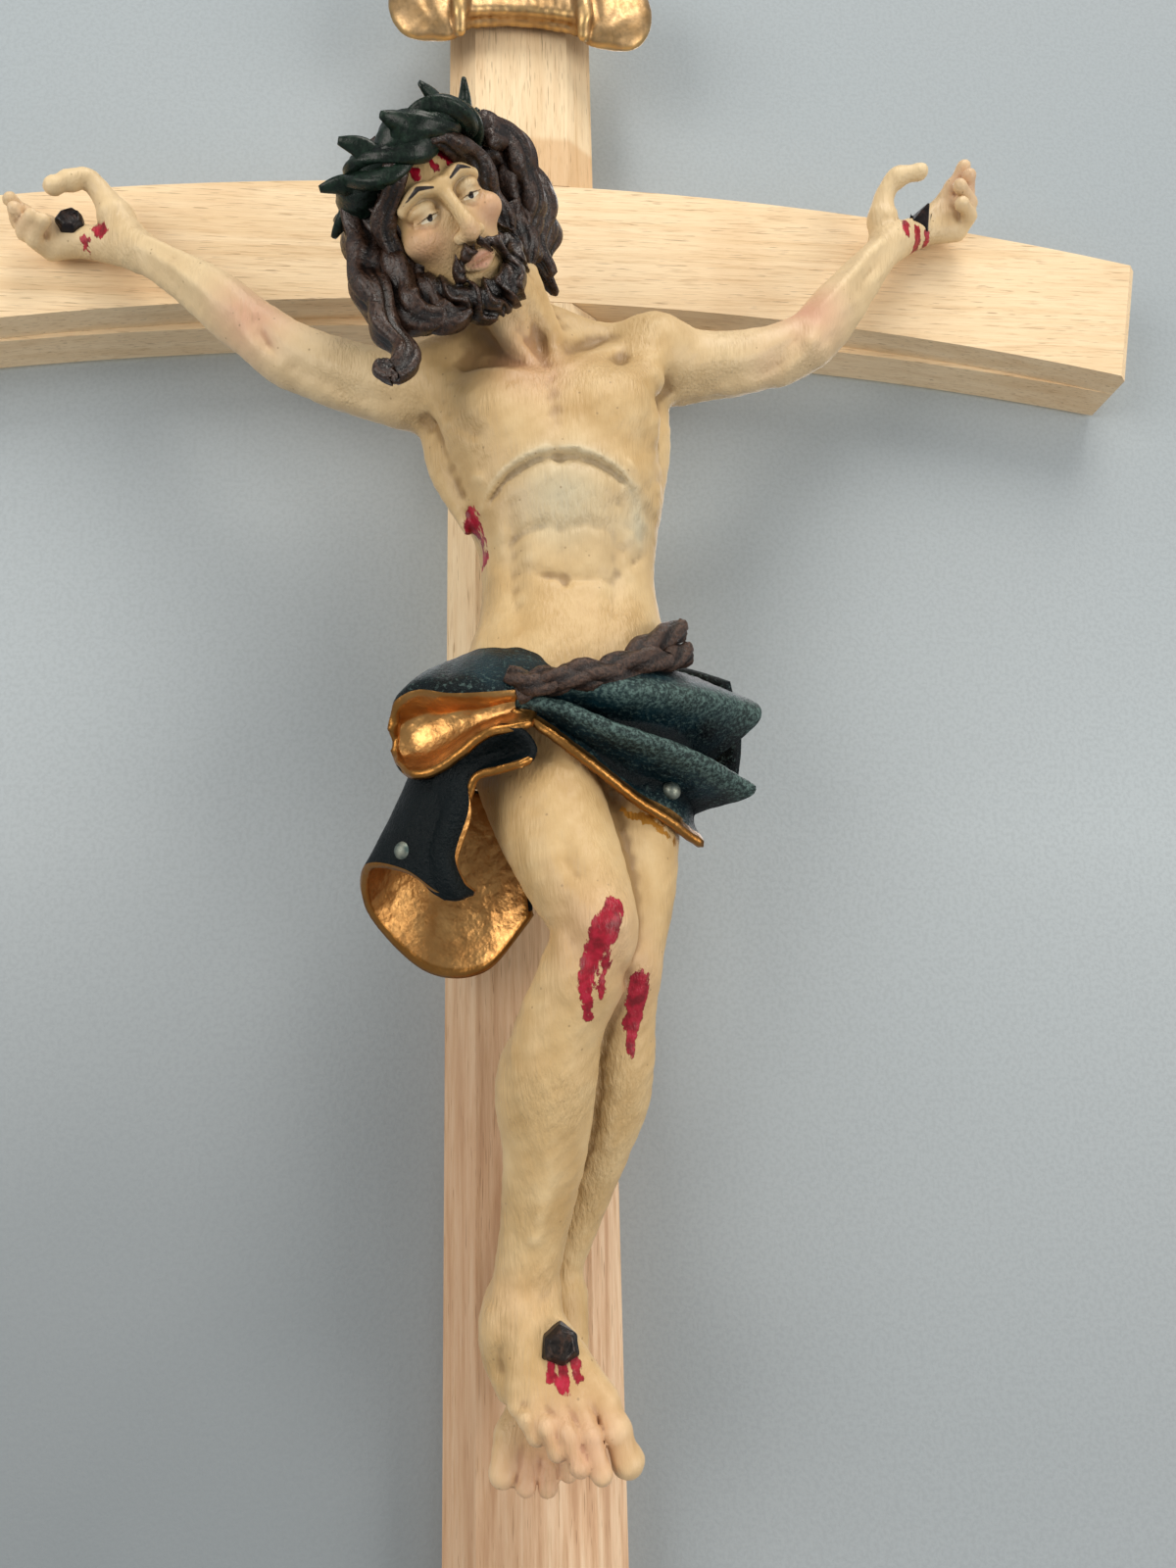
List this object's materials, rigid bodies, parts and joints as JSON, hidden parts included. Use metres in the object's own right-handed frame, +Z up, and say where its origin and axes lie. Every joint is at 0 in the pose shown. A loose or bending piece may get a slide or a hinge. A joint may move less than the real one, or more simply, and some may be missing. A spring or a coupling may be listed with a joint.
{
  "type": "wall crucifix",
  "caption": "Wall crucifix: a limewood cross with a bowed crossbeam, a blank title scroll and a carved, painted figure in a blue and gold loincloth; hangs by a hole in its back.",
  "frame": {"origin": "centre of the mouth of the hanging hole, on the back face of the upright", "axes": "+X to the viewer's right along the crossbeam, +Z up along the upright, +Y out of the back into the wall"},
  "size_m": [0.1744, 0.0489, 0.345],
  "materials": {
    "limewood": "bare planed and sanded limewood, waxed matt",
    "painted_skin": "carved wood, satin oil-painted flesh tone with pink tints and red drops",
    "painted_hair": "carved wood, dark brown paint, satin",
    "painted_crown": "carved wood, dark green paint with rubbed ridges",
    "painted_cloth": "carved wood, petrol blue paint outside, gold paint on the lining and hems",
    "painted_rope": "carved wood, brown paint with rubbed strands",
    "gold_paint": "carved wood, pale gold paint, satin, no lettering",
    "blackened_iron": "forged iron, blackened",
    "brass": "plain brass, dull",
    "steel": "zinc-plated steel",
    "dowel_wood": "plain beech dowel, glued"
  },
  "bodies": {
    "root": {"upright_beam": "limewood", "crossbeam": "limewood", "title_scroll": "gold_paint", "title_brads": "brass", "figure_body": "painted_skin", "left_arm": "painted_skin", "right_arm": "painted_skin", "shoulder_dowels": "dowel_wood", "figure_screw": "steel", "hair": "painted_hair", "beard": "painted_hair", "crown_of_thorns": "painted_crown", "loincloth_wrap": "painted_cloth", "cloth_roll": "painted_cloth", "cloth_swag": "painted_cloth", "cloth_pleats": "painted_cloth", "cloth_pins": "steel", "rope_girdle": "painted_rope", "hand_nails": "blackened_iron", "foot_nail": "blackened_iron"}
  },
  "joints": []
}
